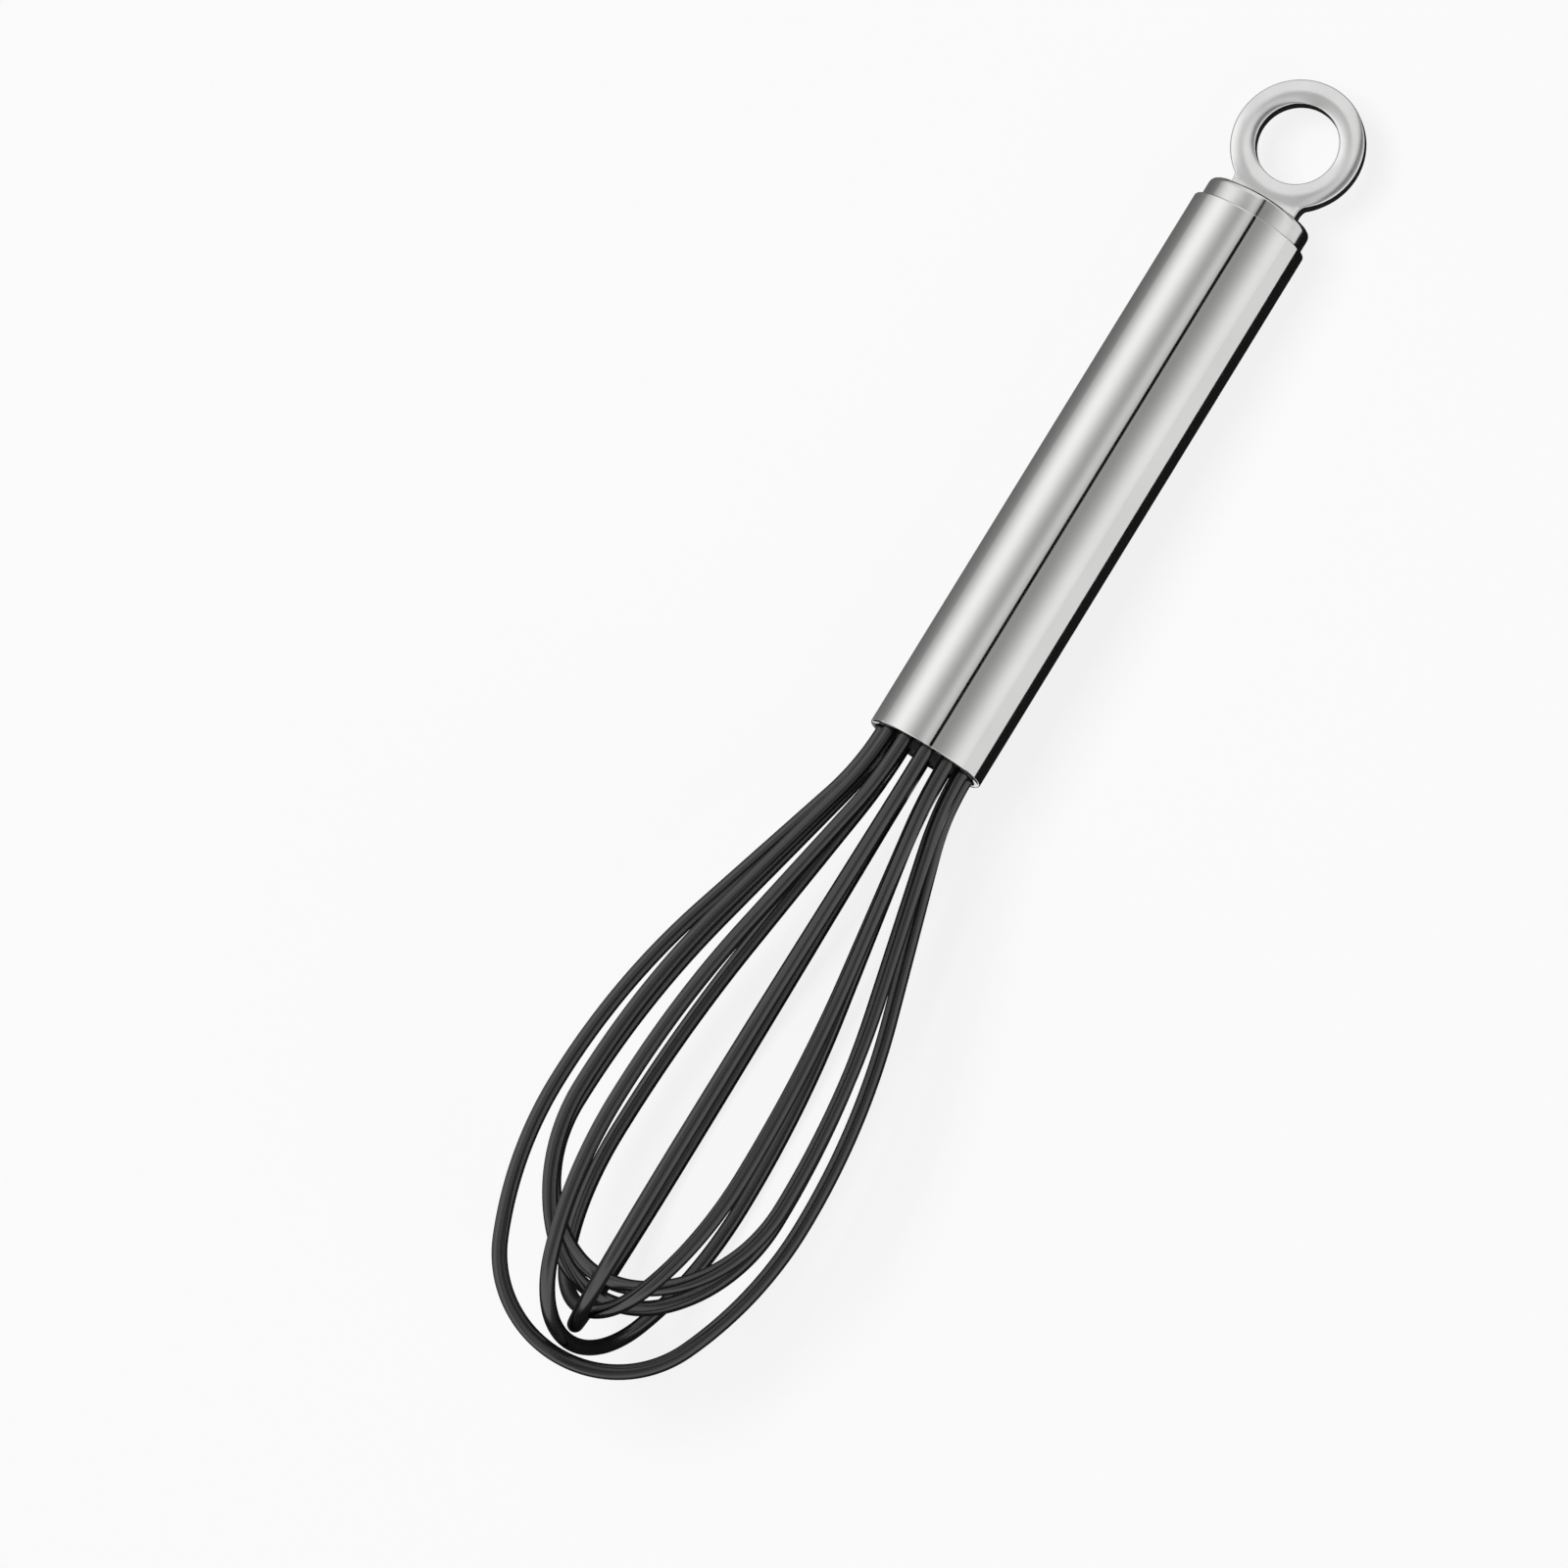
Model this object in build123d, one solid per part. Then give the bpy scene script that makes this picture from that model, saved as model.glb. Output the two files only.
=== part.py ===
from build123d import *

import math
import os

# Balloon whisk, in millimetres.
#
# A round steel handle tube is closed at one end by a pressed-in cup with a hanging ring, and at the
# other by a drilled plug. Six nested loops of sleeved spring wire stand in the plug, and a resin seal
# behind it locks their bare ends. Each loop is one solid: its sleeve, with the core that fills it.
#
# The pieces are made in the tool's own frame: X runs from the ring to the balloon's tip, the mouth
# of the tube is at X = 0, and the ring lies in the XY plane. At the end they are laid down as the
# whisk lies on a table, on two wires and the far rim of the tube, with Z up.

# Handle tube
TUBE_DIAMETER = 18.5
TUBE_WALL = 0.8
TUBE_LENGTH = 92.0
TUBE_RIM_CHAMFER = 0.3

# End cap: a deep-drawn cup, pressed into the tube with its closed end standing out
CAP_FIT = 0.03
CAP_STAND_OUT = 3.4
CAP_SEAT = 8.0
CAP_WALL = 1.0
CAP_TOP = 1.6
CAP_EDGE_CHAMFER = 0.9

# Hanging ring: one plate with a flared foot and a tang that is peened over inside the cap
RING_DIAMETER = 20.0
RING_HOLE_DIAMETER = 12.4
RING_THICKNESS = 3.0
RING_EDGE_CHAMFER = 0.6
RING_LIFT = 0.6
RING_FOOT_WIDTH = 11.2
RING_FOOT_ROUND = 1.6
TANG_WIDTH = 6.4
TANG_FIT = 0.05
TANG_HEAD_WIDTH = 9.0
TANG_HEAD_LENGTH = 1.4

# Wires: a sleeve swept with a many-sided section, and the bare core that stands out of both ends
CORE_DIAMETER = 1.5
CORE_SIDES = 6
SLEEVE_DIAMETER = 2.5
SLEEVE_SIDES = 8

# Balloon. Loop k turns k steps about the axis from FIRST_AZIMUTH, which is measured from the
# ring's plane, and LOOP_LAYERS counts the loops that pass outside it at the tip.
BALLOON_LENGTH = 104.0
DOME_LENGTH = 34.0
NECK_RADIUS = 42.0
STRAIGHT_RUN = 25.0
DOME_TIGHTNESS = 0.83
LOOP_GAP = 0.1
FIRST_AZIMUTH = -15.0
LOOP_LAYERS = (0, 5, 3, 2, 1, 4)
LOOP_BELLIES = (20.7, 19.6, 19.9, 22.6, 22.6, 19.6)

# Plug and resin seal in the mouth of the tube
PLUG_FIT = 0.03
PLUG_RECESS = 0.3
PLUG_LENGTH = 14.0
PLUG_RIM = 0.2
WIRE_FIT = 0.05
SLEEVE_SEAT = 7.0
SEAL_LENGTH = 8.0
CORE_ANCHOR = 5.0

# Passes of the search for the angles at which the whisk lies; it closes in long before the last
LAYING_PASSES = 60

# Worked out from the sizes above
LOOP_COUNT = len(LOOP_LAYERS)
AZIMUTH_STEP = 180.0 / LOOP_COUNT
TUBE_RADIUS = TUBE_DIAMETER / 2
BORE_RADIUS = TUBE_RADIUS - TUBE_WALL
CAP_RADIUS = BORE_RADIUS - CAP_FIT
CAP_TOP_X = -TUBE_LENGTH - CAP_STAND_OUT
RING_CENTRE_X = CAP_TOP_X - RING_LIFT - RING_DIAMETER / 2
CORE_RADIUS = CORE_DIAMETER / 2
SLEEVE_RADIUS = SLEEVE_DIAMETER / 2
CORNER_STEP = 360.0 / SLEEVE_SIDES
PLUG_RADIUS = BORE_RADIUS - PLUG_FIT
PLUG_BACK_X = -PLUG_RECESS - PLUG_LENGTH
SLEEVE_HOLE_RADIUS = SLEEVE_RADIUS + WIRE_FIT
CORE_HOLE_RADIUS = CORE_RADIUS + WIRE_FIT
WIRE_CIRCLE = PLUG_RADIUS - PLUG_RIM - SLEEVE_HOLE_RADIUS
SLEEVE_TAIL = PLUG_RECESS + SLEEVE_SEAT
CORE_TAIL = PLUG_RECESS + PLUG_LENGTH + CORE_ANCHOR
OUTER_POLE = BALLOON_LENGTH - SLEEVE_RADIUS
BELLY_X = OUTER_POLE - DOME_LENGTH


def rod(radius, start, end):
    """A round rod along X."""
    return extrude(Plane.YZ.offset(start) * Circle(radius), end - start)


def loop_pole(loop):
    """Where a loop's centre line crosses the axis: each layer lies one sleeve further in."""
    return OUTER_POLE - LOOP_LAYERS[loop] * (SLEEVE_DIAMETER + LOOP_GAP)


def belly_bend(belly):
    """Bend radius at the belly and the angle of the straight run, for one loop's belly radius."""
    rise = belly - WIRE_CIRCLE
    both = (BELLY_X**2 + rise**2 - STRAIGHT_RUN**2) / (2 * rise)
    flare = math.atan2(rise - both, BELLY_X) + math.atan2(both, STRAIGHT_RUN)
    return both - NECK_RADIUS, math.degrees(flare)


def dome_bends(belly, dome):
    """Shoulder radius, tip radius and the shoulder's turn, over a quarter oval to the pole."""
    long, short = max(belly, dome), min(belly, dome)
    tight = DOME_TIGHTNESS * short
    wide = (long**2 + short**2 - 2 * long * tight) / (2 * (short - tight))
    wide_turn = math.degrees(math.atan2(long - tight, wide - short))
    if dome > belly:
        return wide, tight, wide_turn
    return tight, wide, 90 - wide_turn


def loop_path(loop):
    """One sleeve's centre line in the XY plane: straight runs and tangent arcs, end to end."""
    belly = LOOP_BELLIES[loop]
    belly_radius, flare = belly_bend(belly)
    shoulder, tip, turn = dome_bends(belly, loop_pole(loop) - BELLY_X)
    bends = (
        (NECK_RADIUS, flare),
        (STRAIGHT_RUN, None),
        (belly_radius, -flare),
        (shoulder, -turn),
        (tip, -2 * (90 - turn)),
        (shoulder, -turn),
        (belly_radius, -flare),
        (STRAIGHT_RUN, None),
        (NECK_RADIUS, flare),
        (SLEEVE_TAIL, None),
    )
    edges = [Line((-SLEEVE_TAIL, WIRE_CIRCLE), (0, WIRE_CIRCLE))]
    for size, angle in bends:
        end, heading = edges[-1] @ 1, edges[-1] % 1
        if angle is None:
            edges.append(Line(end, end + heading * size))
        else:
            edges.append(JernArc(end, heading, size, angle))
    return Wire(edges)


def loop_azimuth(loop):
    return FIRST_AZIMUTH + loop * AZIMUTH_STEP


def bare_end(side):
    """The core where it leaves the sleeve, on one side of the axis."""
    section = Pos(side * WIRE_CIRCLE, 0) * RegularPolygon(CORE_RADIUS, CORE_SIDES)
    return extrude(Plane.YZ.offset(-CORE_TAIL) * section, CORE_TAIL - SLEEVE_TAIL)


def wire_loop(loop):
    """A sleeve swept along one loop, with its two bare core ends, turned to the loop's azimuth."""
    path = loop_path(loop)
    start = Plane(origin=path @ 0, x_dir=(0, 1, 0), z_dir=path % 0)
    sleeve = sweep(start * RegularPolygon(SLEEVE_RADIUS, SLEEVE_SIDES), path=path)
    return Rot(X=loop_azimuth(loop)) * (sleeve + bare_end(1) + bare_end(-1))


def wire_holes(radius, sides, start, end):
    """A hole along X for each wire end, with the sides of the wire that it takes."""
    places = PolarLocations(WIRE_CIRCLE, 2 * LOOP_COUNT, start_angle=FIRST_AZIMUTH)
    outlines = Sketch() + [place * RegularPolygon(radius, sides) for place in places]
    return extrude(Plane.YZ.offset(start) * outlines, end - start)


def wire_plug():
    """A moulded disc with stepped holes: the sleeves end on the step, and the cores go through."""
    plug = rod(PLUG_RADIUS, PLUG_BACK_X, -PLUG_RECESS)
    plug -= wire_holes(SLEEVE_HOLE_RADIUS, SLEEVE_SIDES, -SLEEVE_TAIL, -PLUG_RECESS)
    return plug - wire_holes(CORE_HOLE_RADIUS, CORE_SIDES, PLUG_BACK_X, -SLEEVE_TAIL)


def resin_seal():
    """Resin poured in behind the plug, round the last stretch of every core."""
    seal = rod(PLUG_RADIUS, PLUG_BACK_X - SEAL_LENGTH, PLUG_BACK_X)
    return seal - wire_holes(CORE_HOLE_RADIUS, CORE_SIDES, -CORE_TAIL, PLUG_BACK_X)


def handle_tube():
    """A plain tube with both outer rims broken."""
    tube = rod(TUBE_RADIUS, -TUBE_LENGTH, 0)
    tube = chamfer(tube.edges().filter_by(GeomType.CIRCLE), TUBE_RIM_CHAMFER)
    return tube - rod(BORE_RADIUS, -TUBE_LENGTH, 0)


def end_cap():
    """A cup with its closed end outside the tube and a slot in it for the ring's tang."""
    cup = rod(CAP_RADIUS, CAP_TOP_X, -TUBE_LENGTH + CAP_SEAT)
    outer_edge = cup.edges().filter_by(GeomType.CIRCLE).sort_by(Axis.X)[0]
    cup = chamfer(outer_edge, CAP_EDGE_CHAMFER)
    cup -= rod(CAP_RADIUS - CAP_WALL, CAP_TOP_X + CAP_TOP, -TUBE_LENGTH + CAP_SEAT)
    slot = Rectangle(TANG_WIDTH + 2 * TANG_FIT, RING_THICKNESS + 2 * TANG_FIT)
    return cup - extrude(Plane.YZ.offset(CAP_TOP_X) * slot, CAP_TOP)


def ring_blank():
    """The ring and its foot, down to the cap, as one plate with broken edges."""
    lift = RING_LIFT + RING_DIAMETER / 2
    foot = Pos(RING_CENTRE_X + lift / 2, 0) * Rectangle(lift, RING_FOOT_WIDTH)
    outline = Pos(RING_CENTRE_X, 0) * Circle(RING_DIAMETER / 2) + foot
    inner_corners = outline.vertices().group_by(Axis.X)[-2]
    outline = fillet(inner_corners, RING_FOOT_ROUND)
    outline -= Pos(RING_CENTRE_X, 0) * Circle(RING_HOLE_DIAMETER / 2)
    plate = extrude(outline, RING_THICKNESS / 2, both=True)
    rims = plate.faces().filter_by(Axis.Z).edges()
    on_the_cap = rims.group_by(Axis.X)[-1]
    return chamfer(rims - on_the_cap, RING_EDGE_CHAMFER)


def hanging_ring():
    head_x = CAP_TOP_X + CAP_TOP
    tang = Pos((CAP_TOP_X + head_x) / 2, 0) * Rectangle(CAP_TOP, TANG_WIDTH)
    head = Pos(head_x + TANG_HEAD_LENGTH / 2, 0) * Rectangle(TANG_HEAD_LENGTH, TANG_HEAD_WIDTH)
    return ring_blank() + extrude(tang + head, RING_THICKNESS / 2, both=True)


def sleeve_reach():
    """How far a sleeve reaches towards the table, which lies half a step off its loop's plane."""
    past_corner = AZIMUTH_STEP / 2 % CORNER_STEP
    from_corner = min(past_corner, CORNER_STEP - past_corner)
    return SLEEVE_RADIUS * math.cos(math.radians(from_corner))


def wire_drop(loop, pitch, roll):
    """How far below the axis origin a loop's lowest point is, laid at a pitch and a roll."""
    belly = LOOP_BELLIES[loop]
    bend, _ = belly_bend(belly)
    azimuth = math.radians(loop_azimuth(loop))
    ahead = -math.sin(pitch)
    out = abs(math.sin(roll + azimuth)) * math.cos(pitch)
    centre = ahead * BELLY_X + out * (belly - bend)
    return centre + bend * math.hypot(ahead, out) + sleeve_reach()


def rim_drop(pitch):
    """The same for the broken rim at the tube's far end."""
    reach = TUBE_LENGTH - TUBE_RIM_CHAMFER
    return reach * math.sin(pitch) + TUBE_RADIUS * math.cos(pitch)


def lying_angles():
    """The pitch and roll, in degrees, at which two wires and the far rim touch one level table."""
    right, left = LOOP_COUNT // 2, LOOP_COUNT // 2 + 1
    spread = math.sin(math.radians(AZIMUTH_STEP / 2))
    stance = spread * (LOOP_BELLIES[right] + LOOP_BELLIES[left])
    pitch = roll = 0.0
    for _ in range(LAYING_PASSES):
        right_drop = wire_drop(right, pitch, roll)
        left_drop = wire_drop(left, pitch, roll)
        pitch += ((right_drop + left_drop) / 2 - rim_drop(pitch)) / (TUBE_LENGTH + BELLY_X)
        roll += (left_drop - right_drop) / stance
    return math.degrees(pitch), math.degrees(roll)


pieces = {
    "handle_tube": handle_tube(),
    "end_cap": end_cap(),
    "hanging_ring": hanging_ring(),
    "wire_plug": wire_plug(),
    "resin_seal": resin_seal(),
}
for loop in range(LOOP_COUNT):
    pieces[f"wire_loop_{loop + 1}"] = wire_loop(loop)

pitch, roll = lying_angles()
laid = Rot(Y=-pitch) * Rot(X=roll)
box = Compound([laid * piece for piece in pieces.values()]).bounding_box()
table = Pos(-(box.min.X + box.max.X) / 2, -(box.min.Y + box.max.Y) / 2, -box.min.Z) * laid

os.makedirs("parts", exist_ok=True)
for name, piece in pieces.items():
    placed = table * piece
    placed.label = name
    export_step(placed, f"parts/{name}.step")

print("pitch", round(pitch, 4), "roll", round(roll, 4), "size", box.size)
print("mouth of the tube", (table * Vertex(0, 0, 0)).center())
print("ring centre", (table * Vertex(RING_CENTRE_X, 0, 0)).center())
print("ring axis", (laid * Vertex(0, 0, 1)).center())
print("bend radii", NECK_RADIUS, [round(belly_bend(b)[0], 1) for b in LOOP_BELLIES])
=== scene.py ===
import math

import bmesh
import bpy
from bpy.props import FloatProperty, FloatVectorProperty, PointerProperty
from mathutils import Matrix, Vector


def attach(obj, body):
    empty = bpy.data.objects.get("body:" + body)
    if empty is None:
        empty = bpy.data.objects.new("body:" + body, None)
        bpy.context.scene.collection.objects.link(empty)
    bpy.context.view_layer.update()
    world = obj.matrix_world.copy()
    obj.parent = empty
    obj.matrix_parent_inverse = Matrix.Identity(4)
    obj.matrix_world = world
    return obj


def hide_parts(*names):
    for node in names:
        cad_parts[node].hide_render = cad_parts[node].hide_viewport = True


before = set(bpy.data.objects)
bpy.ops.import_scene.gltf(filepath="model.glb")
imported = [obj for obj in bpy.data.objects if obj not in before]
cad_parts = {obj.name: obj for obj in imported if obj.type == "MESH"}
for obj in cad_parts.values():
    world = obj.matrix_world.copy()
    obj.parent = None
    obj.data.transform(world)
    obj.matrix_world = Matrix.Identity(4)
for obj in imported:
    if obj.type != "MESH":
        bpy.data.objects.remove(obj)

bl_info = {
    "name": "Balloon whisk",
    "version": (1, 0, 0),
    "blender": (4, 5, 0),
    "location": "3D View > Sidebar > Whisk",
    "description": "Builds and dresses a balloon whisk of sleeved wire with a polished handle",
    "category": "Add Mesh",
}

# How the whisk lies: the mouth of its tube, and how far its nose is tipped up from the table.
# In the tool's own frame X runs from the ring to the balloon's tip and the mouth is at X = 0.
MOUTH = Vector((0.00601392, 0.0, 0.0172882))
PITCH = math.radians(5.0512)

# The six loops. Each is turned a sixth of a half turn further about the axis than the one before.
# A layer counts the loops that pass outside this one at the tip.
FIRST_AZIMUTH = math.radians(-15.0)
LOOP_LAYERS = (0, 5, 3, 2, 1, 4)
LOOP_BELLIES = (0.0207, 0.0196, 0.0199, 0.0226, 0.0226, 0.0196)
LOOP_COUNT = len(LOOP_LAYERS)

# Where the ring's crown starts to fade towards the cap, as a share of the ring's radius
FOOT_STARTS = 0.6

# How much of the foot's rounding is cut back from the corner where ring and foot meet
FOOT_CUT_SHARE = 0.6

# Fineness of the round work
LATHE_STEPS = 160
EDGE_SEGMENTS = 4
RING_STEPS = 144
RING_CUTS = 9
FOOT_SEGMENTS = EDGE_SEGMENTS + 2
WIRE_SIDES = 28
WIRE_STEP = 0.0009
FEWEST_BEND_STEPS = 6

# The sleeve's width is that of a section with this many sides
SECTION_SIDES = 8

# Closer than this is the same point, and the same place
MERGE_DISTANCE = 1e-7
PLACE_TOLERANCE = 1e-6

# Above this share of straight up or down, a face of the ring counts as flat
FLAT_NORMAL = 0.9

# Edges that turn more than this are shaded sharp
LATHED_SHARP = math.radians(50)
RING_SHARP = math.radians(35)
WIRE_SHARP = math.radians(60)

# Roughness, from the smoothest to the roughest patches
CAP_SHINE = (0.09, 0.15)
PLUG_SHINE = (0.5, 0.72)
RESIN_SHINE = (0.2, 0.4)

# How far roughness strays in patches, as shares of the finish's own roughness
HANDLE_SPREAD = (0.75, 1.35)
RING_SPREAD = (0.85, 1.2)
SLEEVE_SPREAD = (0.85, 1.25)

# The camera's place and turn
CAMERA_PLACE = (0.10747, 0.47, 1.60731)
CAMERA_TURN = tuple(math.radians(a) for a in (11.2747, 13.1588, 120.9856))
CAMERA_LENS = 261.9
SENSOR_WIDTH = 36.0
CAMERA_CLIP = (0.05, 20.0)

# The two soft lamps, both aimed at the whisk's middle, and the floor
LAMP_TARGET = (0.0, 0.0, 0.02)
LAMP_WIDTH = 0.8
KEY_PLACE = (0.05, -0.4, 1.6)
FILL_PLACE = (0.3, 1.2, 1.0)
FLOOR_HALF_WIDTH = 4.0

# The light tent over the whisk: how bright its cloth is by itself, and the lamps behind it on the
# left, beside the lens and on the right. Each lamp has its angle about the handle from the
# camera's direction, its spread and its power.
TENT_REACH = 110.0
TENT_STEPS = 440
TENT_RADIUS = 0.5
TENT_LENGTH = 2.4
TENT_CLOTH = 0.28
TENT_LAMPS = ((-71.0, 30.0, 0.80), (-12.0, 12.0, 0.38), (64.0, 32.0, 0.66))
LENS_SLOT = 3.0

# A brighter stretch of the tent beyond the ring, which the ring's flat face meets
RING_CLOTH = 0.82
RING_CLOTH_RADIUS = 0.48
RING_CLOTH_REACH = (-85.0, -10.0)
RING_CLOTH_ALONG = (-1.15, -0.205)

# Cards that only the shiny pieces meet, as reflections. The dark ones are painted shade of the
# floor around the whisk, darkest close to it and lighter further out; the pale one glows at one
# even level.
# Each has its height, its level at its near and far side, how late it changes between them, and
# two edges that run from near to far. The black card, painted shade under the handle, lies over
# the others.
CARD_STEPS = 24
LOW_CARD = 0.0004
HIGH_CARD = 0.0006
EVEN = 1
LATE = 4
CARDS = (
    ("black_shade_card", HIGH_CARD, (0.01, 0.01), EVEN,
     ((-0.13, -0.006), (-0.13, 0.018)), ((0.009, -0.006), (0.009, 0.030))),
    ("grey_shade_card", LOW_CARD, (0.08, 0.52), EVEN,
     ((-0.2, -0.0005), (-0.2, -0.55)), ((0.011, -0.0005), (0.011, -0.55))),
    ("pale_card", LOW_CARD, (0.82, 0.82), EVEN,
     ((-0.13, 0.0), (-0.13, 0.45)), ((0.011, 0.0), (0.011, 0.45))),
    ("end_shade_card", LOW_CARD, (0.02, 0.6), LATE,
     ((-0.131, -0.1), (-0.45, -0.1)), ((-0.131, 0.1), (-0.45, 0.1))),
    ("balloon_shade_card_left", LOW_CARD, (0.02, 0.6), LATE,
     ((0.012, 0.0), (0.012, -0.14)), ((0.2, 0.0), (0.2, -0.14))),
    ("balloon_shade_card_right", LOW_CARD, (0.02, 0.6), LATE,
     ((0.012, 0.0), (0.012, 0.14)), ((0.2, 0.0), (0.2, 0.14))),
)


def tool_to_table():
    """Takes the tool's own frame to the way the whisk lies on the table."""
    return Matrix.Translation(MOUTH) @ Matrix.Rotation(-PITCH, 4, "Y")


# --- What a user would change ---------------------------------------------------------------


def length(name, default, description):
    return FloatProperty(
        name=name, description=description, default=default, min=0.00001, precision=5,
        subtype="DISTANCE", unit="LENGTH",
    )


def colour(name, default, description):
    return FloatVectorProperty(
        name=name, description=description, default=default, min=0.0, max=1.0, size=4,
        subtype="COLOR",
    )


def share(name, default, description):
    return FloatProperty(
        name=name, description=description, default=default, min=0.0, max=1.0, subtype="FACTOR",
    )


class WhiskSizes(bpy.types.PropertyGroup):
    """Real sizes of the whisk's pieces."""

    tube_diameter: length("Tube diameter", 0.0185, "Outside diameter of the handle")
    tube_wall: length("Tube wall", 0.0008, "Thickness of the handle's wall")
    tube_length: length("Tube length", 0.092, "Length of the handle without its cap")
    rim_round: length("Rim rounding", 0.0003, "Rounding of the handle's two rims")
    cap_diameter: length("Cap diameter", 0.01684, "Diameter of the pressed-in cap")
    cap_stand_out: length("Cap stand-out", 0.0034, "How far the cap stands out of the handle")
    cap_seat: length("Cap seat", 0.008, "How deep the cap sits in the handle")
    cap_wall: length("Cap wall", 0.001, "Thickness of the cap's side")
    cap_top: length("Cap end", 0.0016, "Thickness of the cap's closed end")
    cap_round: length("Cap rounding", 0.0009, "Rounding of the cap's outer edge")
    ring_diameter: length("Ring diameter", 0.020, "Outside diameter of the hanging ring")
    ring_hole: length("Ring hole", 0.0124, "Diameter of the hole in the ring")
    ring_thickness: length("Ring thickness", 0.003, "Thickness of the ring's plate")
    ring_round: length("Ring rounding", 0.0003, "Rounding of the ring's edges")
    ring_crown: length("Ring crown", 0.00042, "How much lower the ring's faces are at their rims")
    ring_lift: length("Ring lift", 0.0006, "Gap that the foot bridges from ring to cap")
    foot_width: length("Foot width", 0.0112, "Width of the ring's foot")
    foot_round: length("Foot rounding", 0.0016, "Hollow where the ring meets its foot")
    sleeve_diameter: length("Sleeve width", 0.0025, "Eight-sided sleeve from corner to corner")
    core_diameter: length("Core diameter", 0.0015, "Diameter of the bare wire ends")
    wire_circle: length(
        "Wire circle", 0.00692, "Radius of the circle on which wires leave the plug"
    )
    sleeve_tail: length("Sleeve tail", 0.0073, "How far a sleeve goes into the handle")
    core_tail: length("Core tail", 0.0193, "How far a bare wire end goes into the handle")
    balloon_length: length("Balloon length", 0.104, "From the mouth of the handle to the tip")
    dome_length: length("Dome length", 0.034, "From the widest place to the tip")
    neck_radius: length("Neck bend", 0.042, "Bend radius where wires leave the handle")
    straight_run: length("Straight run", 0.025, "Straight stretch between the neck and the belly")
    loop_gap: length("Loop gap", 0.0001, "Space between two loops where they cross at the tip")
    dome_tightness: share("Dome tightness", 0.83, "Tight bend of the dome against its short side")


class WhiskFinish(bpy.types.PropertyGroup):
    """Colours and shine of the whisk's pieces."""

    steel: colour("Polished steel", (0.80, 0.80, 0.79, 1.0), "Colour of the handle")
    steel_shine: share("Handle roughness", 0.07, "Roughness of the polished handle")
    cap: colour("Cap steel", (0.76, 0.76, 0.75, 1.0), "Colour of the cap")
    satin: colour("Satin steel", (0.88, 0.88, 0.875, 1.0), "Colour of the hanging ring")
    satin_shine: share("Ring roughness", 0.20, "Roughness of the satin ring")
    silicone: colour("Silicone", (0.0042, 0.0041, 0.0038, 1.0), "Colour of the sleeves")
    silicone_shine: share("Silicone roughness", 0.19, "Roughness of the sleeves")
    plug: colour("Plug", (0.012, 0.012, 0.012, 1.0), "Colour of the plug in the mouth")
    resin: colour("Resin", (0.28, 0.21, 0.11, 1.0), "Colour of the seal behind the plug")


class WhiskStage(bpy.types.PropertyGroup):
    """Floor and lamps."""

    floor: colour("Floor", (0.80, 0.80, 0.80, 1.0), "Colour of the floor where it bounces light")
    backdrop_share: share("Floor glow", 0.84, "How much of the floor's look is plain white")
    key_power: FloatProperty(
        name="Key light", description="Power of the large lamp overhead", default=20.0,
        min=0.0, unit="POWER",
    )
    fill_power: FloatProperty(
        name="Fill light", description="Power of the lamp on the right", default=4.0,
        min=0.0, unit="POWER",
    )
    ambient: share("Ambient", 0.15, "Strength of the even light from all sides")


# --- Materials ------------------------------------------------------------------------------


class Shader:
    """A new material with one surface shader, and short ways to add nodes to it."""

    def __init__(self, name, **values):
        self.material = bpy.data.materials.new(name)
        self.material.use_nodes = True
        self.tree = self.material.node_tree
        self.surface = self.tree.nodes["Principled BSDF"]
        for socket, value in values.items():
            self.surface.inputs[socket.replace("_", " ")].default_value = value

    def node(self, kind, **inputs):
        node = self.tree.nodes.new(kind)
        for socket, value in inputs.items():
            target = node.inputs[socket.replace("_", " ")]
            if isinstance(value, bpy.types.NodeSocket):
                self.tree.links.new(value, target)
            else:
                target.default_value = value
        return node

    def feed(self, socket, value):
        self.tree.links.new(value, self.surface.inputs[socket])

    def along_axis(self, across, along):
        """Object coordinates turned to the handle's axis, with a scale across it and along it."""
        place = self.node("ShaderNodeTexCoord").outputs["Object"]
        turned = self.node("ShaderNodeMapping", Vector=place, Rotation=(0.0, PITCH, 0.0))
        return self.node(
            "ShaderNodeMapping", Vector=turned.outputs[0], Scale=(along, across, across)
        ).outputs[0]

    def noise(self, vector, detail, roughness=0.5):
        return self.node(
            "ShaderNodeTexNoise", Vector=vector, Scale=1.0, Detail=detail, Roughness=roughness
        ).outputs["Fac"]

    def between(self, value, low, high):
        """The value's 0 to 1, spread from low to high."""
        spread = self.node("ShaderNodeMapRange", Value=value, To_Min=low, To_Max=high)
        return spread.outputs["Result"]

    def shades(self, value, dark, light, start=0.35, end=0.65):
        """A colour between dark and light by the value."""
        ramp = self.node("ShaderNodeValToRGB", Fac=value)
        low, high = ramp.color_ramp.elements
        low.position, low.color = start, dark
        high.position, high.color = end, light
        return ramp.outputs["Color"]

    def bump(self, height, strength, distance):
        relief = self.node("ShaderNodeBump", Height=height, Strength=strength, Distance=distance)
        self.feed("Normal", relief.outputs["Normal"])


def scaled(colour_value, factor):
    return tuple(min(1.0, c * factor) for c in colour_value[:3]) + (1.0,)


def spread(roughness, shares):
    return tuple(roughness * share_of_it for share_of_it in shares)


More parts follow.
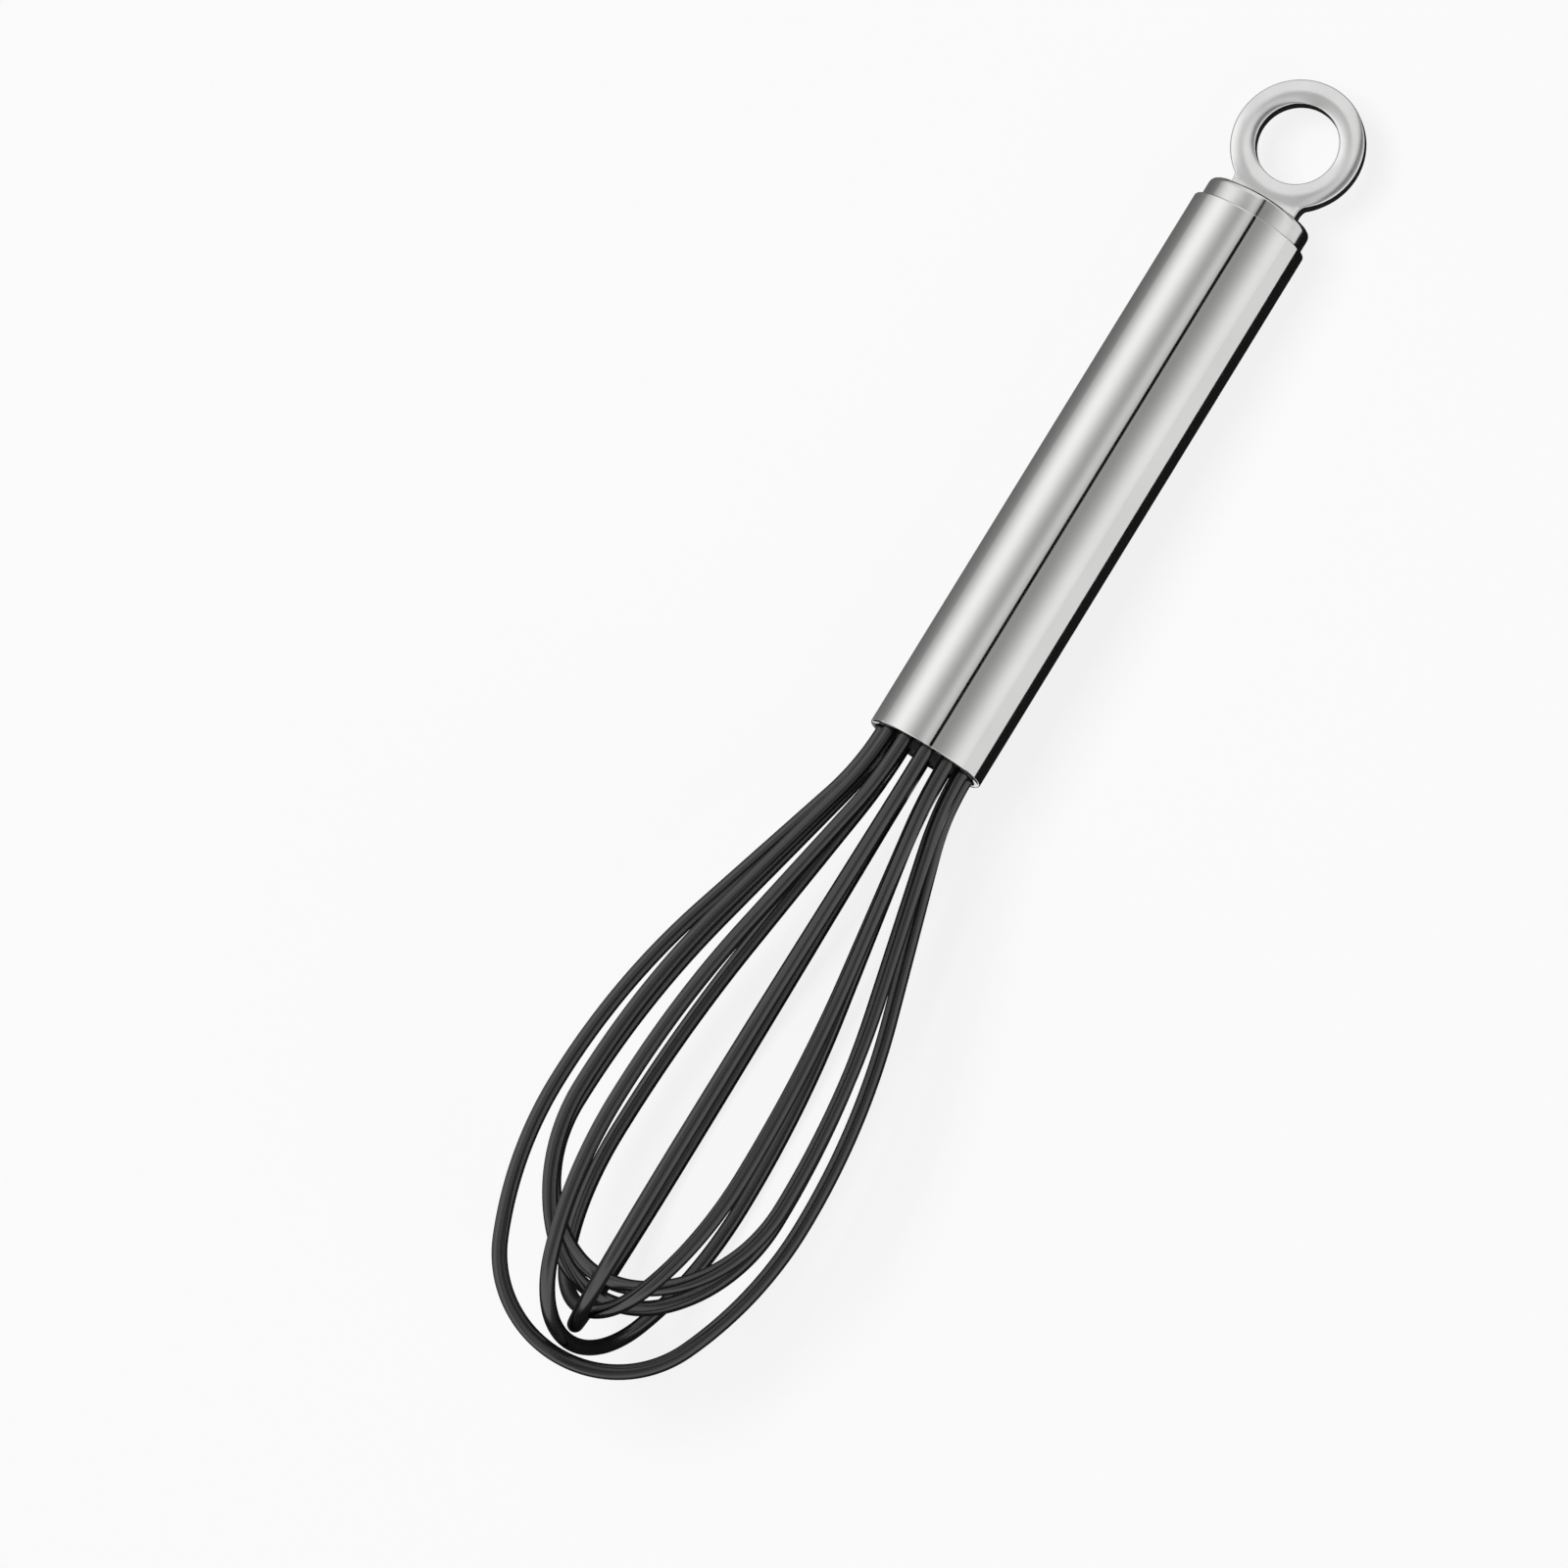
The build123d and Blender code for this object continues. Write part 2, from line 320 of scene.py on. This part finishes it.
def polished_steel(finish):
    """Handle: mirror polish with faint drawing lines along it, and soft smudges from hands."""
    steel = Shader("polished_handle_steel", Metallic=1.0)
    lines = steel.noise(steel.along_axis(9000.0, 60.0), 4.0)
    smudges = steel.noise(steel.along_axis(90.0, 45.0), 5.0, 0.6)
    steel.feed("Base Color", steel.shades(smudges, scaled(finish.steel, 0.95), finish.steel))
    shine = spread(finish.steel_shine, HANDLE_SPREAD)
    steel.feed("Roughness", steel.between(smudges, *shine))
    steel.bump(lines, 0.02, 0.00002)
    return steel.material


def turned_steel(finish):
    """Cap: turned metal, a little duller than the handle."""
    steel = Shader("turned_cap_steel", Metallic=1.0)
    rings = steel.noise(steel.along_axis(40.0, 12000.0), 3.0)
    patches = steel.noise(steel.along_axis(260.0, 260.0), 4.0)
    steel.feed("Base Color", steel.shades(patches, scaled(finish.cap, 0.9), finish.cap))
    steel.feed("Roughness", steel.between(patches, *CAP_SHINE))
    steel.bump(rings, 0.03, 0.00003)
    return steel.material


def satin_steel(finish):
    """Ring: tumbled satin metal with a fine grain and a few brighter rubbed patches."""
    steel = Shader("satin_ring_steel", Metallic=1.0)
    grain = steel.noise(steel.along_axis(7000.0, 7000.0), 4.0, 0.6)
    patches = steel.noise(steel.along_axis(180.0, 180.0), 4.0)
    steel.feed("Base Color", steel.shades(patches, scaled(finish.satin, 0.93), finish.satin))
    shine = spread(finish.satin_shine, RING_SPREAD)
    steel.feed("Roughness", steel.between(patches, *shine))
    steel.bump(grain, 0.12, 0.00003)
    return steel.material


def black_silicone(finish):
    """Sleeves: satin silicone with a strong sheen, a fine moulded grain and a trace of dust."""
    rubber = Shader("black_sleeve_silicone", Specular_IOR_Level=1.0)
    grain = rubber.noise(rubber.along_axis(3200.0, 3200.0), 5.0, 0.6)
    dust = rubber.noise(rubber.along_axis(140.0, 140.0), 5.0, 0.55)
    light = scaled(finish.silicone, 1.5)
    rubber.feed("Base Color", rubber.shades(dust, finish.silicone, light, 0.4, 0.75))
    shine = spread(finish.silicone_shine, SLEEVE_SPREAD)
    rubber.feed("Roughness", rubber.between(dust, *shine))
    rubber.bump(grain, 0.18, 0.00003)
    return rubber.material


def moulded_plastic(finish):
    """Plug: black moulded plastic with a sparked grain."""
    plastic = Shader("plug_plastic")
    grain = plastic.noise(plastic.along_axis(2600.0, 2600.0), 4.0, 0.65)
    plastic.feed("Base Color", plastic.shades(grain, finish.plug, scaled(finish.plug, 2.0)))
    plastic.feed("Roughness", plastic.between(grain, *PLUG_SHINE))
    plastic.bump(grain, 0.3, 0.00005)
    return plastic.material


def cured_resin(finish):
    """Seal: amber resin with cloudy streaks."""
    resin = Shader("seal_resin")
    clouds = resin.noise(resin.along_axis(420.0, 260.0), 5.0, 0.6)
    resin.feed("Base Color", resin.shades(clouds, scaled(finish.resin, 0.7), finish.resin))
    resin.feed("Roughness", resin.between(clouds, *RESIN_SHINE))
    resin.bump(clouds, 0.2, 0.0002)
    return resin.material


# --- Shapes ---------------------------------------------------------------------------------


def add_piece(bm, name, material, node, sharp_angle):
    """Lays a finished shape down with the whisk, and puts it in the place of its CAD node."""
    bm.transform(tool_to_table())
    bmesh.ops.remove_doubles(bm, verts=bm.verts, dist=MERGE_DISTANCE)
    bmesh.ops.recalc_face_normals(bm, faces=bm.faces)
    mesh = bpy.data.meshes.new(name)
    bm.to_mesh(mesh)
    bm.free()
    mesh.shade_smooth()
    mesh.set_sharp_from_angle(angle=sharp_angle)
    mesh.materials.append(material)
    piece = bpy.data.objects.new(name, mesh)
    bpy.context.scene.collection.objects.link(piece)
    even = piece.modifiers.new("even_shading", "WEIGHTED_NORMAL")
    even.keep_sharp = True
    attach(piece, "root")
    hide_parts(node)


def lathed(profile, closed):
    """A profile of (place along the axis, radius) pairs, spun about the tool's axis."""
    bm = bmesh.new()
    corners = [bm.verts.new((along, 0.0, radius)) for along, radius in profile]
    ends = corners[1:] + corners[:1] if closed else corners[1:]
    edges = [bm.edges.new(pair) for pair in zip(corners, ends)]
    bmesh.ops.spin(
        bm, geom=corners + edges, cent=(0.0, 0.0, 0.0), axis=(1.0, 0.0, 0.0),
        angle=math.tau, steps=LATHE_STEPS, use_merge=True,
    )
    bmesh.ops.remove_doubles(bm, verts=bm.verts, dist=MERGE_DISTANCE)
    return bm


def round_edges(bm, edges, size):
    bmesh.ops.bevel(
        bm, geom=edges, offset=size, segments=EDGE_SEGMENTS, affect="EDGES", profile=0.5,
        material=-1, clamp_overlap=True,
    )


def rim(bm, along, radius):
    """The edges of one circle about the tool's axis."""

    def on_it(vert):
        reach = math.hypot(vert.co.y, vert.co.z)
        near = abs(vert.co.x - along) < PLACE_TOLERANCE
        return near and abs(reach - radius) < PLACE_TOLERANCE

    edges = [edge for edge in bm.edges if all(on_it(vert) for vert in edge.verts)]
    if not edges:
        raise RuntimeError(f"no rim at {along} with radius {radius}")
    return edges


def ring_outline(bm, sizes):
    """The plate's outer edge: a circle about the origin, pulled out into a foot towards +X."""
    radius, half_foot = sizes.ring_diameter / 2, sizes.foot_width / 2
    foot_end = sizes.ring_lift + radius
    bmesh.ops.create_circle(bm, cap_ends=False, segments=RING_STEPS, radius=radius)
    foot = [v for v in bm.verts if v.co.x > 0 and abs(v.co.y) < half_foot]
    rest = [v for v in bm.verts if v.co.x > 0 and abs(v.co.y) >= half_foot]
    for vert in foot:
        vert.co.x = foot_end
    joins = []
    for side in (1, -1):
        corner = max(foot, key=lambda v: side * v.co.y)
        corner.co.y = side * half_foot
        join = min((v for v in rest if side * v.co.y > 0), key=lambda v: side * v.co.y)
        join.co = Vector((math.sqrt(radius**2 - half_foot**2), side * half_foot, 0.0))
        joins.append(join)
    return joins


def crown_drop(sizes, place):
    """How much lower a point of the ring's face is than its crown, which fades out on the foot."""
    hole, outer = sizes.ring_hole / 2, sizes.ring_diameter / 2
    middle, half = (hole + outer) / 2, (outer - hole) / 2
    off = math.hypot(place.x, place.y) - middle
    towards_cap = (place.x / outer - FOOT_STARTS) / (1.0 - FOOT_STARTS)
    left = 1.0 - min(1.0, max(0.0, towards_cap)) if off > 0 else 1.0
    return sizes.ring_crown * left * min(1.0, abs(off) / half) ** 2


def ring_shape(sizes):
    """Plate with a hole and a hollowed foot, and all its rims rounded but the one on the cap."""
    bm = bmesh.new()
    joins = ring_outline(bm, sizes)
    bmesh.ops.bevel(
        bm, geom=joins, offset=sizes.foot_round * FOOT_CUT_SHARE, segments=FOOT_SEGMENTS,
        affect="VERTICES", profile=0.5, material=-1,
    )
    outline = bm.edges[:]
    made = bmesh.ops.extrude_edge_only(bm, edges=outline)["geom"]
    inner = {g for g in made if isinstance(g, bmesh.types.BMVert)}
    for vert in inner:
        vert.co = vert.co.normalized() * sizes.ring_hole / 2
    spokes = [e for e in bm.edges if (e.verts[0] in inner) != (e.verts[1] in inner)]
    bmesh.ops.subdivide_edges(bm, edges=spokes, cuts=RING_CUTS, use_grid_fill=True)
    plate = bmesh.ops.extrude_face_region(bm, geom=bm.faces[:])["geom"]
    raised = [g for g in plate if isinstance(g, bmesh.types.BMVert)]
    bmesh.ops.translate(bm, verts=raised, vec=(0.0, 0.0, sizes.ring_thickness))
    bmesh.ops.translate(bm, verts=bm.verts, vec=(0.0, 0.0, -sizes.ring_thickness / 2))
    for vert in bm.verts:
        vert.co.z -= math.copysign(crown_drop(sizes, vert.co), vert.co.z)
    bmesh.ops.recalc_face_normals(bm, faces=bm.faces)
    foot_end = sizes.ring_lift + sizes.ring_diameter / 2

    def rounded(edge):
        flat = sum(abs(face.normal.z) > FLAT_NORMAL for face in edge.link_faces)
        on_cap = all(abs(vert.co.x - foot_end) < PLACE_TOLERANCE for vert in edge.verts)
        return flat == 1 and len(edge.link_faces) == 2 and not on_cap

    round_edges(bm, [edge for edge in bm.edges if rounded(edge)], sizes.ring_round)
    cap_end = -sizes.tube_length - sizes.cap_stand_out
    bm.transform(Matrix.Translation((cap_end - foot_end, 0.0, 0.0)))
    return bm


def dome_bends(belly, dome, tightness):
    """Shoulder radius, tip radius and the shoulder's turn, over a quarter oval to the pole."""
    long, short = max(belly, dome), min(belly, dome)
    tight = tightness * short
    wide = (long**2 + short**2 - 2 * long * tight) / (2 * (short - tight))
    wide_turn = math.atan2(long - tight, wide - short)
    if dome > belly:
        return wide, tight, wide_turn
    return tight, wide, math.pi / 2 - wide_turn


def wire_runs(sizes, loop):
    """The straight runs and bends of one loop, from one end of its sleeve to the other."""
    sleeve = sizes.sleeve_diameter
    outer_pole = sizes.balloon_length - sleeve / 2
    belly_place = outer_pole - sizes.dome_length
    belly, run = LOOP_BELLIES[loop], sizes.straight_run
    rise = belly - sizes.wire_circle
    both = (belly_place**2 + rise**2 - run**2) / (2 * rise)
    flare = math.atan2(rise - both, belly_place) + math.atan2(both, run)
    belly_bend = both - sizes.neck_radius
    pole = outer_pole - LOOP_LAYERS[loop] * (sleeve + sizes.loop_gap)
    shoulder, tip, turn = dome_bends(belly, pole - belly_place, sizes.dome_tightness)
    half = [
        (sizes.sleeve_tail, 0.0), (sizes.neck_radius, flare), (run, 0.0),
        (belly_bend, -flare), (shoulder, -turn),
    ]
    return half + [(tip, -2 * (math.pi / 2 - turn))] + half[::-1]


def swept(bm, edges, start, runs):
    """Carries a ring of edges along the runs in the XY plane, and returns the last ring."""
    place, heading = start.copy(), Vector((1.0, 0.0, 0.0))
    for size, turn in runs:
        if turn == 0.0:
            steps = max(1, math.ceil(size / WIRE_STEP / 2))
            for _ in range(steps):
                made = bmesh.ops.extrude_edge_only(bm, edges=edges)["geom"]
                edges = [g for g in made if isinstance(g, bmesh.types.BMEdge)]
                verts = {vert for edge in edges for vert in edge.verts}
                bmesh.ops.translate(bm, verts=list(verts), vec=heading * size / steps)
            place = place + heading * size
            continue
        left = Vector((-heading.y, heading.x, 0.0))
        centre = place + left * math.copysign(size, turn)
        steps = max(FEWEST_BEND_STEPS, math.ceil(abs(turn) * size / WIRE_STEP))
        verts = {vert for edge in edges for vert in edge.verts}
        made = bmesh.ops.spin(
            bm, geom=list(verts) + edges, cent=centre, axis=(0.0, 0.0, 1.0), angle=turn,
            steps=steps, use_merge=False,
        )["geom_last"]
        edges = [g for g in made if isinstance(g, bmesh.types.BMEdge)]
        bend = Matrix.Rotation(turn, 3, "Z")
        place = centre + bend @ (place - centre)
        heading = bend @ heading
    return edges


def sleeve_radius(sizes):
    """The round sleeve that fits inside the eight-sided section, touching its flats."""
    return sizes.sleeve_diameter / 2 * math.cos(math.pi / SECTION_SIDES)


def bare_end(bm, edges, sizes):
    """Closes a sleeve's end and draws the thinner core out of it, into the handle."""
    face = bmesh.ops.edgeloop_fill(bm, edges=edges)["faces"][0]
    step = sleeve_radius(sizes) - sizes.core_diameter / 2
    bmesh.ops.inset_individual(bm, faces=[face], thickness=step)
    core = bmesh.ops.extrude_discrete_faces(bm, faces=[face])["faces"][0]
    reach = sizes.core_tail - sizes.sleeve_tail
    bmesh.ops.translate(bm, verts=core.verts[:], vec=(-reach, 0.0, 0.0))


def wire_shape(sizes, loop):
    """One sleeved loop with its two bare ends, turned to its place about the axis."""
    bm = bmesh.new()
    start = Vector((-sizes.sleeve_tail, sizes.wire_circle, 0.0))
    facing = Matrix.Translation(start) @ Matrix.Rotation(math.pi / 2, 4, "Y")
    bmesh.ops.create_circle(
        bm, cap_ends=False, segments=WIRE_SIDES, radius=sleeve_radius(sizes), matrix=facing
    )
    first = bm.edges[:]
    last = swept(bm, first, start, wire_runs(sizes, loop))
    bare_end(bm, first, sizes)
    bare_end(bm, last, sizes)
    bm.transform(Matrix.Rotation(FIRST_AZIMUTH + loop * math.pi / LOOP_COUNT, 4, "X"))
    return bm


# --- Stage ----------------------------------------------------------------------------------


def aimed(place, target):
    return (Vector(target) - Vector(place)).to_track_quat("-Z", "Y")


def add_lamp(name, place, power):
    data = bpy.data.lights.new(name, "AREA")
    data.shape, data.energy = "RECTANGLE", power
    data.size = data.size_y = LAMP_WIDTH
    lamp = bpy.data.objects.new(name, data)
    lamp.location = place
    lamp.rotation_mode = "QUATERNION"
    lamp.rotation_quaternion = aimed(place, LAMP_TARGET)
    lamp.visible_glossy = False
    bpy.context.scene.collection.objects.link(lamp)


def seen_plainly(nodes, links):
    """1 for rays from the camera, a mirror or glass, and 0 for the rays that light things."""
    path = nodes.new("ShaderNodeLightPath")
    total = path.outputs["Is Camera Ray"]
    for kind in ("Is Glossy Ray", "Is Transmission Ray"):
        either = nodes.new("ShaderNodeMath")
        either.operation = "MAXIMUM"
        links.new(total, either.inputs[0])
        links.new(path.outputs[kind], either.inputs[1])
        total = either.outputs[0]
    return total


def add_world(ambient):
    """White where it is seen, and an even soft light elsewhere."""
    world = bpy.data.worlds.new("studio_air")
    world.use_nodes = True
    nodes, links = world.node_tree.nodes, world.node_tree.links
    background = nodes["Background"]
    background.inputs["Color"].default_value = (1.0, 1.0, 1.0, 1.0)
    strength = nodes.new("ShaderNodeMapRange")
    strength.inputs["To Min"].default_value = ambient
    strength.inputs["To Max"].default_value = 1.0
    links.new(seen_plainly(nodes, links), strength.inputs["Value"])
    links.new(strength.outputs["Result"], background.inputs["Strength"])
    bpy.context.scene.world = world


def add_floor(stage):
    """A wide pale floor: mostly plain white where it is seen, and it keeps the shadow."""
    bm = bmesh.new()
    bmesh.ops.create_grid(bm, x_segments=1, y_segments=1, size=FLOOR_HALF_WIDTH)
    mesh = bpy.data.meshes.new("floor")
    bm.to_mesh(mesh)
    bm.free()
    cover = Shader("floor_paper", Roughness=0.9, Specular_IOR_Level=0.1)
    cover.surface.inputs["Base Color"].default_value = stage.floor
    nodes, links = cover.tree.nodes, cover.tree.links
    glow = nodes.new("ShaderNodeEmission")
    glow.inputs["Color"].default_value = (1.0, 1.0, 1.0, 1.0)
    seen = nodes.new("ShaderNodeMath")
    seen.operation = "MULTIPLY"
    links.new(seen_plainly(nodes, links), seen.inputs[0])
    seen.inputs[1].default_value = stage.backdrop_share
    mix = nodes.new("ShaderNodeMixShader")
    links.new(seen.outputs[0], mix.inputs["Fac"])
    links.new(cover.surface.outputs[0], mix.inputs[1])
    links.new(glow.outputs[0], mix.inputs[2])
    links.new(mix.outputs[0], nodes["Material Output"].inputs["Surface"])
    mesh.materials.append(cover.material)
    floor = bpy.data.objects.new("floor", mesh)
    bpy.context.scene.collection.objects.link(floor)


def cloth_glow(angle):
    """How bright the tent's cloth is at an angle, with a dark slot for the lens."""
    if abs(angle) < LENS_SLOT:
        return 0.0
    lamps = (
        power * math.exp(-(((angle - place) / spread) ** 2)) for place, spread, power in TENT_LAMPS
    )
    return TENT_CLOTH + sum(lamps)


def ring_cloth_glow(angle):
    """The ring's cloth is equally bright at every angle."""
    return RING_CLOTH


def glowing(name):
    """A cover that glows as brightly as the mesh's own glow attribute says."""
    material = bpy.data.materials.new(name)
    material.use_nodes = True
    nodes, links = material.node_tree.nodes, material.node_tree.links
    nodes.clear()
    glow = nodes.new("ShaderNodeEmission")
    read = nodes.new("ShaderNodeAttribute")
    read.attribute_name = "glow"
    links.new(read.outputs["Fac"], glow.inputs["Strength"])
    output = nodes.new("ShaderNodeOutputMaterial")
    links.new(glow.outputs[0], output.inputs["Surface"])
    return material


def add_reflector(name, bm, material):
    """A studio piece that is only met as a reflection in the shiny pieces."""
    mesh = bpy.data.meshes.new(name)
    bm.to_mesh(mesh)
    bm.free()
    mesh.materials.append(material)
    piece = bpy.data.objects.new(name, mesh)
    bpy.context.scene.collection.objects.link(piece)
    piece.visible_camera = False
    piece.visible_diffuse = False
    piece.visible_shadow = False
    piece.visible_transmission = False


def add_cloth(name, sizes, radius, reach, along, steps, level):
    """Cloth curved about the handle's axis, with its brightness from its angle to the lens."""
    axis = tool_to_table().to_3x3() @ Vector((1.0, 0.0, 0.0))
    middle = tool_to_table() @ Vector((-sizes.tube_length / 2, 0.0, 0.0))
    up = Vector(CAMERA_PLACE) - middle
    up = (up - axis * up.dot(axis)).normalized()
    bm = bmesh.new()
    glow = bm.verts.layers.float.new("glow")
    ends = [bm.verts.new(middle + radius * up + axis * place) for place in along]
    edge = bm.edges.new(ends)
    first, last = (math.radians(-angle) for angle in reach)
    bmesh.ops.rotate(bm, verts=ends, cent=middle, matrix=Matrix.Rotation(first, 3, axis))
    bmesh.ops.spin(
        bm, geom=ends + [edge], cent=middle, axis=axis, angle=last - first, steps=steps
    )
    side = up.cross(axis)
    for vert in bm.verts:
        out = vert.co - middle
        vert[glow] = level(math.degrees(math.atan2(out.dot(side), out.dot(up))))
    add_reflector(name, bm, glowing(f"{name}_cloth"))


def add_card(name, height, levels, lateness, first_edge, second_edge):
    """A flat glowing card between two edges, which the shiny pieces show as a painted reflection.
    """
    bm = bmesh.new()
    glow = bm.verts.layers.float.new("glow")
    bmesh.ops.create_grid(bm, x_segments=1, y_segments=CARD_STEPS, size=0.5)
    for vert in bm.verts:
        edge = second_edge if vert.co.x > 0 else first_edge
        near, far = (Vector((*end, height)) for end in edge)
        outward = vert.co.y + 0.5
        vert.co = near.lerp(far, outward**2)
        # The glow runs from the near level to the far level; on the dark cards this is painted
        # shade of the floor, darkest close to the whisk.
        vert[glow] = levels[0] + (levels[1] - levels[0]) * outward**lateness
    add_reflector(name, bm, glowing(f"{name}_paper"))


def add_camera():
    data = bpy.data.cameras.new("camera")
    data.lens, data.sensor_width = CAMERA_LENS, SENSOR_WIDTH
    data.clip_start, data.clip_end = CAMERA_CLIP
    camera = bpy.data.objects.new("camera", data)
    camera.location = CAMERA_PLACE
    camera.rotation_euler = CAMERA_TURN
    bpy.context.scene.collection.objects.link(camera)
    bpy.context.scene.camera = camera


# --- Operators ------------------------------------------------------------------------------


class WHISK_OT_handle(bpy.types.Operator):
    """Builds the polished handle tube"""

    bl_idname = "whisk.handle"
    bl_label = "Handle"

    def execute(self, context):
        sizes, finish = context.scene.whisk_sizes, context.scene.whisk_finish
        outer = sizes.tube_diameter / 2
        inner = outer - sizes.tube_wall
        far = -sizes.tube_length
        bm = lathed(((far, outer), (0.0, outer), (0.0, inner), (far, inner)), closed=True)
        rims = rim(bm, far, outer) + rim(bm, 0.0, outer)
        round_edges(bm, rims, sizes.rim_round)
        material = polished_steel(finish)
        add_piece(bm, "handle", material, "handle_tube", LATHED_SHARP)
        return {"FINISHED"}


class WHISK_OT_cap(bpy.types.Operator):
    """Builds the pressed-in cap at the far end of the handle"""

    bl_idname = "whisk.cap"
    bl_label = "End cap"

    def execute(self, context):
        sizes, finish = context.scene.whisk_sizes, context.scene.whisk_finish
        outer = sizes.cap_diameter / 2
        inner = outer - sizes.cap_wall
        end = -sizes.tube_length - sizes.cap_stand_out
        seat = -sizes.tube_length + sizes.cap_seat
        floor = end + sizes.cap_top
        profile = (
            (end, 0.0), (end, outer), (seat, outer), (seat, inner), (floor, inner), (floor, 0.0)
        )
        bm = lathed(profile, closed=False)
        round_edges(bm, rim(bm, end, outer), sizes.cap_round)
        add_piece(bm, "cap", turned_steel(finish), "end_cap", LATHED_SHARP)
        return {"FINISHED"}


class WHISK_OT_ring(bpy.types.Operator):
    """Builds the flat hanging ring and its foot"""

    bl_idname = "whisk.ring"
    bl_label = "Hanging ring"

    def execute(self, context):
        sizes, finish = context.scene.whisk_sizes, context.scene.whisk_finish
        bm = ring_shape(sizes)
        material = satin_steel(finish)
        add_piece(bm, "ring", material, "hanging_ring", RING_SHARP)
        return {"FINISHED"}


class WHISK_OT_wires(bpy.types.Operator):
    """Builds the six nested wire loops in their sleeves"""

    bl_idname = "whisk.wires"
    bl_label = "Wire loops"

    def execute(self, context):
        sizes, finish = context.scene.whisk_sizes, context.scene.whisk_finish
        material = black_silicone(finish)
        for loop in range(LOOP_COUNT):
            number = loop + 1
            node = f"wire_loop_{number}"
            bm = wire_shape(sizes, loop)
            add_piece(bm, f"wire_{number}", material, node, WIRE_SHARP)
        return {"FINISHED"}


class WHISK_OT_mouth(bpy.types.Operator):
    """Dresses the plug in the handle's mouth and the seal behind it"""

    bl_idname = "whisk.mouth"
    bl_label = "Plug and seal"

    def execute(self, context):
        finish = context.scene.whisk_finish
        dressed = (("wire_plug", moulded_plastic(finish)), ("resin_seal", cured_resin(finish)))
        for node, material in dressed:
            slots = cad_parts[node].material_slots
            if not slots:
                raise RuntimeError(f"{node} has no material slot to dress")
            for slot in slots:
                slot.material = material
        return {"FINISHED"}


class WHISK_OT_stage(bpy.types.Operator):
    """Sets up the floor, the lamps, the light tent and the camera"""

    bl_idname = "whisk.stage"
    bl_label = "Stage"

    def execute(self, context):
        sizes, stage = context.scene.whisk_sizes, context.scene.whisk_stage
        context.scene.view_settings.view_transform = "Standard"
        add_world(stage.ambient)
        add_floor(stage)
        half = TENT_LENGTH / 2
        tent = (-TENT_REACH, TENT_REACH), (-half, half), TENT_STEPS
        add_cloth("light_tent", sizes, TENT_RADIUS, *tent, cloth_glow)
        add_cloth(
            "ring_light", sizes, RING_CLOTH_RADIUS, RING_CLOTH_REACH,
            [place + sizes.tube_length / 2 for place in RING_CLOTH_ALONG], CARD_STEPS,
            ring_cloth_glow,
        )
        for card in CARDS:
            add_card(*card)
        add_lamp("key_light", KEY_PLACE, stage.key_power)
        add_lamp("fill_light", FILL_PLACE, stage.fill_power)
        add_camera()
        return {"FINISHED"}


class WHISK_PT_panel(bpy.types.Panel):
    """Lists the whisk's operators"""

    bl_idname = "WHISK_PT_panel"
    bl_label = "Balloon whisk"
    bl_space_type = "VIEW_3D"
    bl_region_type = "UI"
    bl_category = "Whisk"

    def draw(self, context):
        for operator in OPERATORS:
            self.layout.operator(operator.bl_idname)


OPERATORS = (
    WHISK_OT_handle, WHISK_OT_cap, WHISK_OT_ring, WHISK_OT_wires, WHISK_OT_mouth, WHISK_OT_stage,
)
GROUPS = {"whisk_sizes": WhiskSizes, "whisk_finish": WhiskFinish, "whisk_stage": WhiskStage}


def register():
    for name, group in GROUPS.items():
        bpy.utils.register_class(group)
        setattr(bpy.types.Scene, name, PointerProperty(type=group))
    for cls in (*OPERATORS, WHISK_PT_panel):
        bpy.utils.register_class(cls)


def unregister():
    for cls in (WHISK_PT_panel, *reversed(OPERATORS)):
        bpy.utils.unregister_class(cls)
    for name, group in GROUPS.items():
        delattr(bpy.types.Scene, name)
        bpy.utils.unregister_class(group)


def main():
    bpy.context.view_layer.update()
    register()
    bpy.ops.whisk.handle()
    bpy.ops.whisk.cap()
    bpy.ops.whisk.ring()
    bpy.ops.whisk.wires()
    bpy.ops.whisk.mouth()
    bpy.ops.whisk.stage()


if __name__ == "__main__":
    main()
